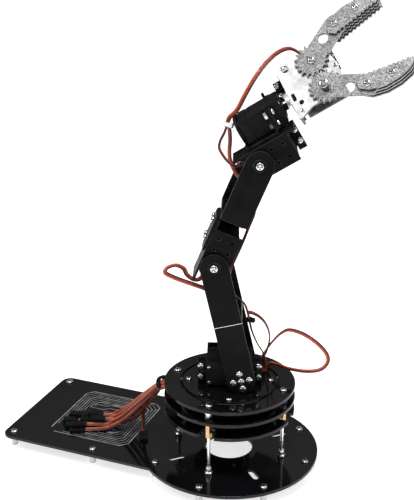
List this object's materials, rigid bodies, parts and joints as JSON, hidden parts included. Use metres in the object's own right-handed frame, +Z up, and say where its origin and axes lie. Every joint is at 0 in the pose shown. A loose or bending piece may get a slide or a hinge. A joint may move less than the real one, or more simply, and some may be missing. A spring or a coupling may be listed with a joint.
{
  "type": "robot arm",
  "caption": "Desktop articulated robot arm with a glossy turntable base, sheet-metal servo brackets, a turning wrist and a geared claw with serrated jaws.",
  "frame": {"origin": "middle of the arm's footprint box on the surface that it stands on", "axes": "+Z up, +X the way the arm reaches, the tail of the base plate points to -X and +Y"},
  "size_m": [0.3519, 0.2042, 0.4104],
  "materials": {
    "gloss_black_plate": "polished black board with a mirror-like gloss",
    "black_sheet": "black anodised sheet, satin",
    "servo_case": "black moulded plastic",
    "bright_aluminium": "bright machined",
    "grey_alloy": "tumbled laser-cut plate",
    "brass": "plain turned brass",
    "nylon": "pale translucent nylon",
    "servo_lead": "flat three-wire lead: brown, red and orange",
    "black_plug": "black moulded housing"
  },
  "bodies": {
    "base": {"base_plate": "gloss_black_plate", "foot_1": "nylon", "foot_2": "nylon", "foot_3": "nylon", "foot_4": "nylon", "foot_5": "nylon", "foot_6": "nylon", "post_rod_1": "bright_aluminium", "post_rod_2": "bright_aluminium", "post_rod_3": "bright_aluminium", "post_rod_4": "bright_aluminium", "brass_spacer_1": "brass", "brass_spacer_2": "brass", "brass_spacer_3": "brass", "brass_spacer_4": "brass", "lower_disc": "gloss_black_plate", "middle_ring": "gloss_black_plate", "top_ring": "gloss_black_plate", "yaw_servo": "servo_case", "base_lead_1": "servo_lead", "base_lead_2": "servo_lead", "base_lead_3": "servo_lead", "plug_1": "black_plug", "plug_2": "black_plug", "plug_3": "black_plug"},
    "turntable": {"turntable_disc": "gloss_black_plate", "yaw_horn": "bright_aluminium", "shoulder_servo": "servo_case", "shoulder_bracket": "black_sheet", "shoulder_lead": "servo_lead", "turntable_lead": "servo_lead"},
    "upper_arm": {"lower_arm_bracket": "black_sheet", "upper_arm_bracket": "black_sheet", "shoulder_horn": "bright_aluminium", "elbow_horn": "bright_aluminium", "arm_lead": "servo_lead", "elbow_lead": "servo_lead"},
    "forearm": {"elbow_servo": "servo_case", "elbow_bracket": "black_sheet", "elbow_l_bracket": "black_sheet", "forearm_bracket": "black_sheet", "wrist_horn": "bright_aluminium"},
    "wrist": {"pitch_servo": "servo_case", "pitch_bracket": "black_sheet", "roll_servo": "servo_case", "roll_bracket": "black_sheet", "wrist_lead": "servo_lead"},
    "palm": {"roll_horn": "bright_aluminium", "palm_front": "bright_aluminium", "palm_back": "bright_aluminium", "gripper_servo": "servo_case", "pivot_bolt": "grey_alloy", "gripper_lead": "servo_lead"},
    "upper_finger": {"upper_plate": "grey_alloy", "upper_jaw_front": "grey_alloy", "upper_jaw_stack": "grey_alloy", "gripper_horn": "bright_aluminium"},
    "lower_finger": {"lower_plate": "grey_alloy", "lower_jaw_front": "grey_alloy", "lower_jaw_stack": "grey_alloy"}
  },
  "joints": [
    {"name": "yaw", "type": "hinge", "parent": "base", "child": "turntable", "pos_m": [0.03313, -0.02211, 0], "axis": [0, 0, 1], "range_deg": [-90, 90]},
    {"name": "shoulder", "type": "hinge", "parent": "turntable", "child": "upper_arm", "pos_m": [0.04328, -0.02211, 0.0933], "axis": [0, 1, 0], "range_deg": [-60, 45], "deforming": ["shoulder_lead"]},
    {"name": "elbow", "type": "hinge", "parent": "upper_arm", "child": "forearm", "pos_m": [0.01986, -0.02211, 0.19637], "axis": [0, -1, 0], "range_deg": [-80, 100], "deforming": ["arm_lead", "elbow_lead"]},
    {"name": "wrist_pitch", "type": "hinge", "parent": "forearm", "child": "wrist", "pos_m": [0.05572, -0.02211, 0.28337], "axis": [0, 1, 0], "range_deg": [-35, 60]},
    {"name": "wrist_roll", "type": "hinge", "parent": "wrist", "child": "palm", "pos_m": [0.04269, -0.02211, 0.30506], "axis": [0.8572, 0, 0.515], "range_deg": [-60, 90], "deforming": ["gripper_lead"]},
    {"name": "grip", "type": "hinge", "parent": "palm", "child": "upper_finger", "pos_m": [0.09823, -0.00925, 0.3563], "axis": [0.3311, 0.766, -0.551], "range_deg": [-8, 22]},
    {"name": "grip_follower", "type": "hinge", "parent": "palm", "child": "lower_finger", "pos_m": [0.10849, -0.02597, 0.33923], "axis": [0.3311, 0.766, -0.551], "range_deg": [-22, 8]}
  ],
  "couplings": [
    {"joint": "grip_follower", "follows": "grip", "ratio": -1}
  ]
}
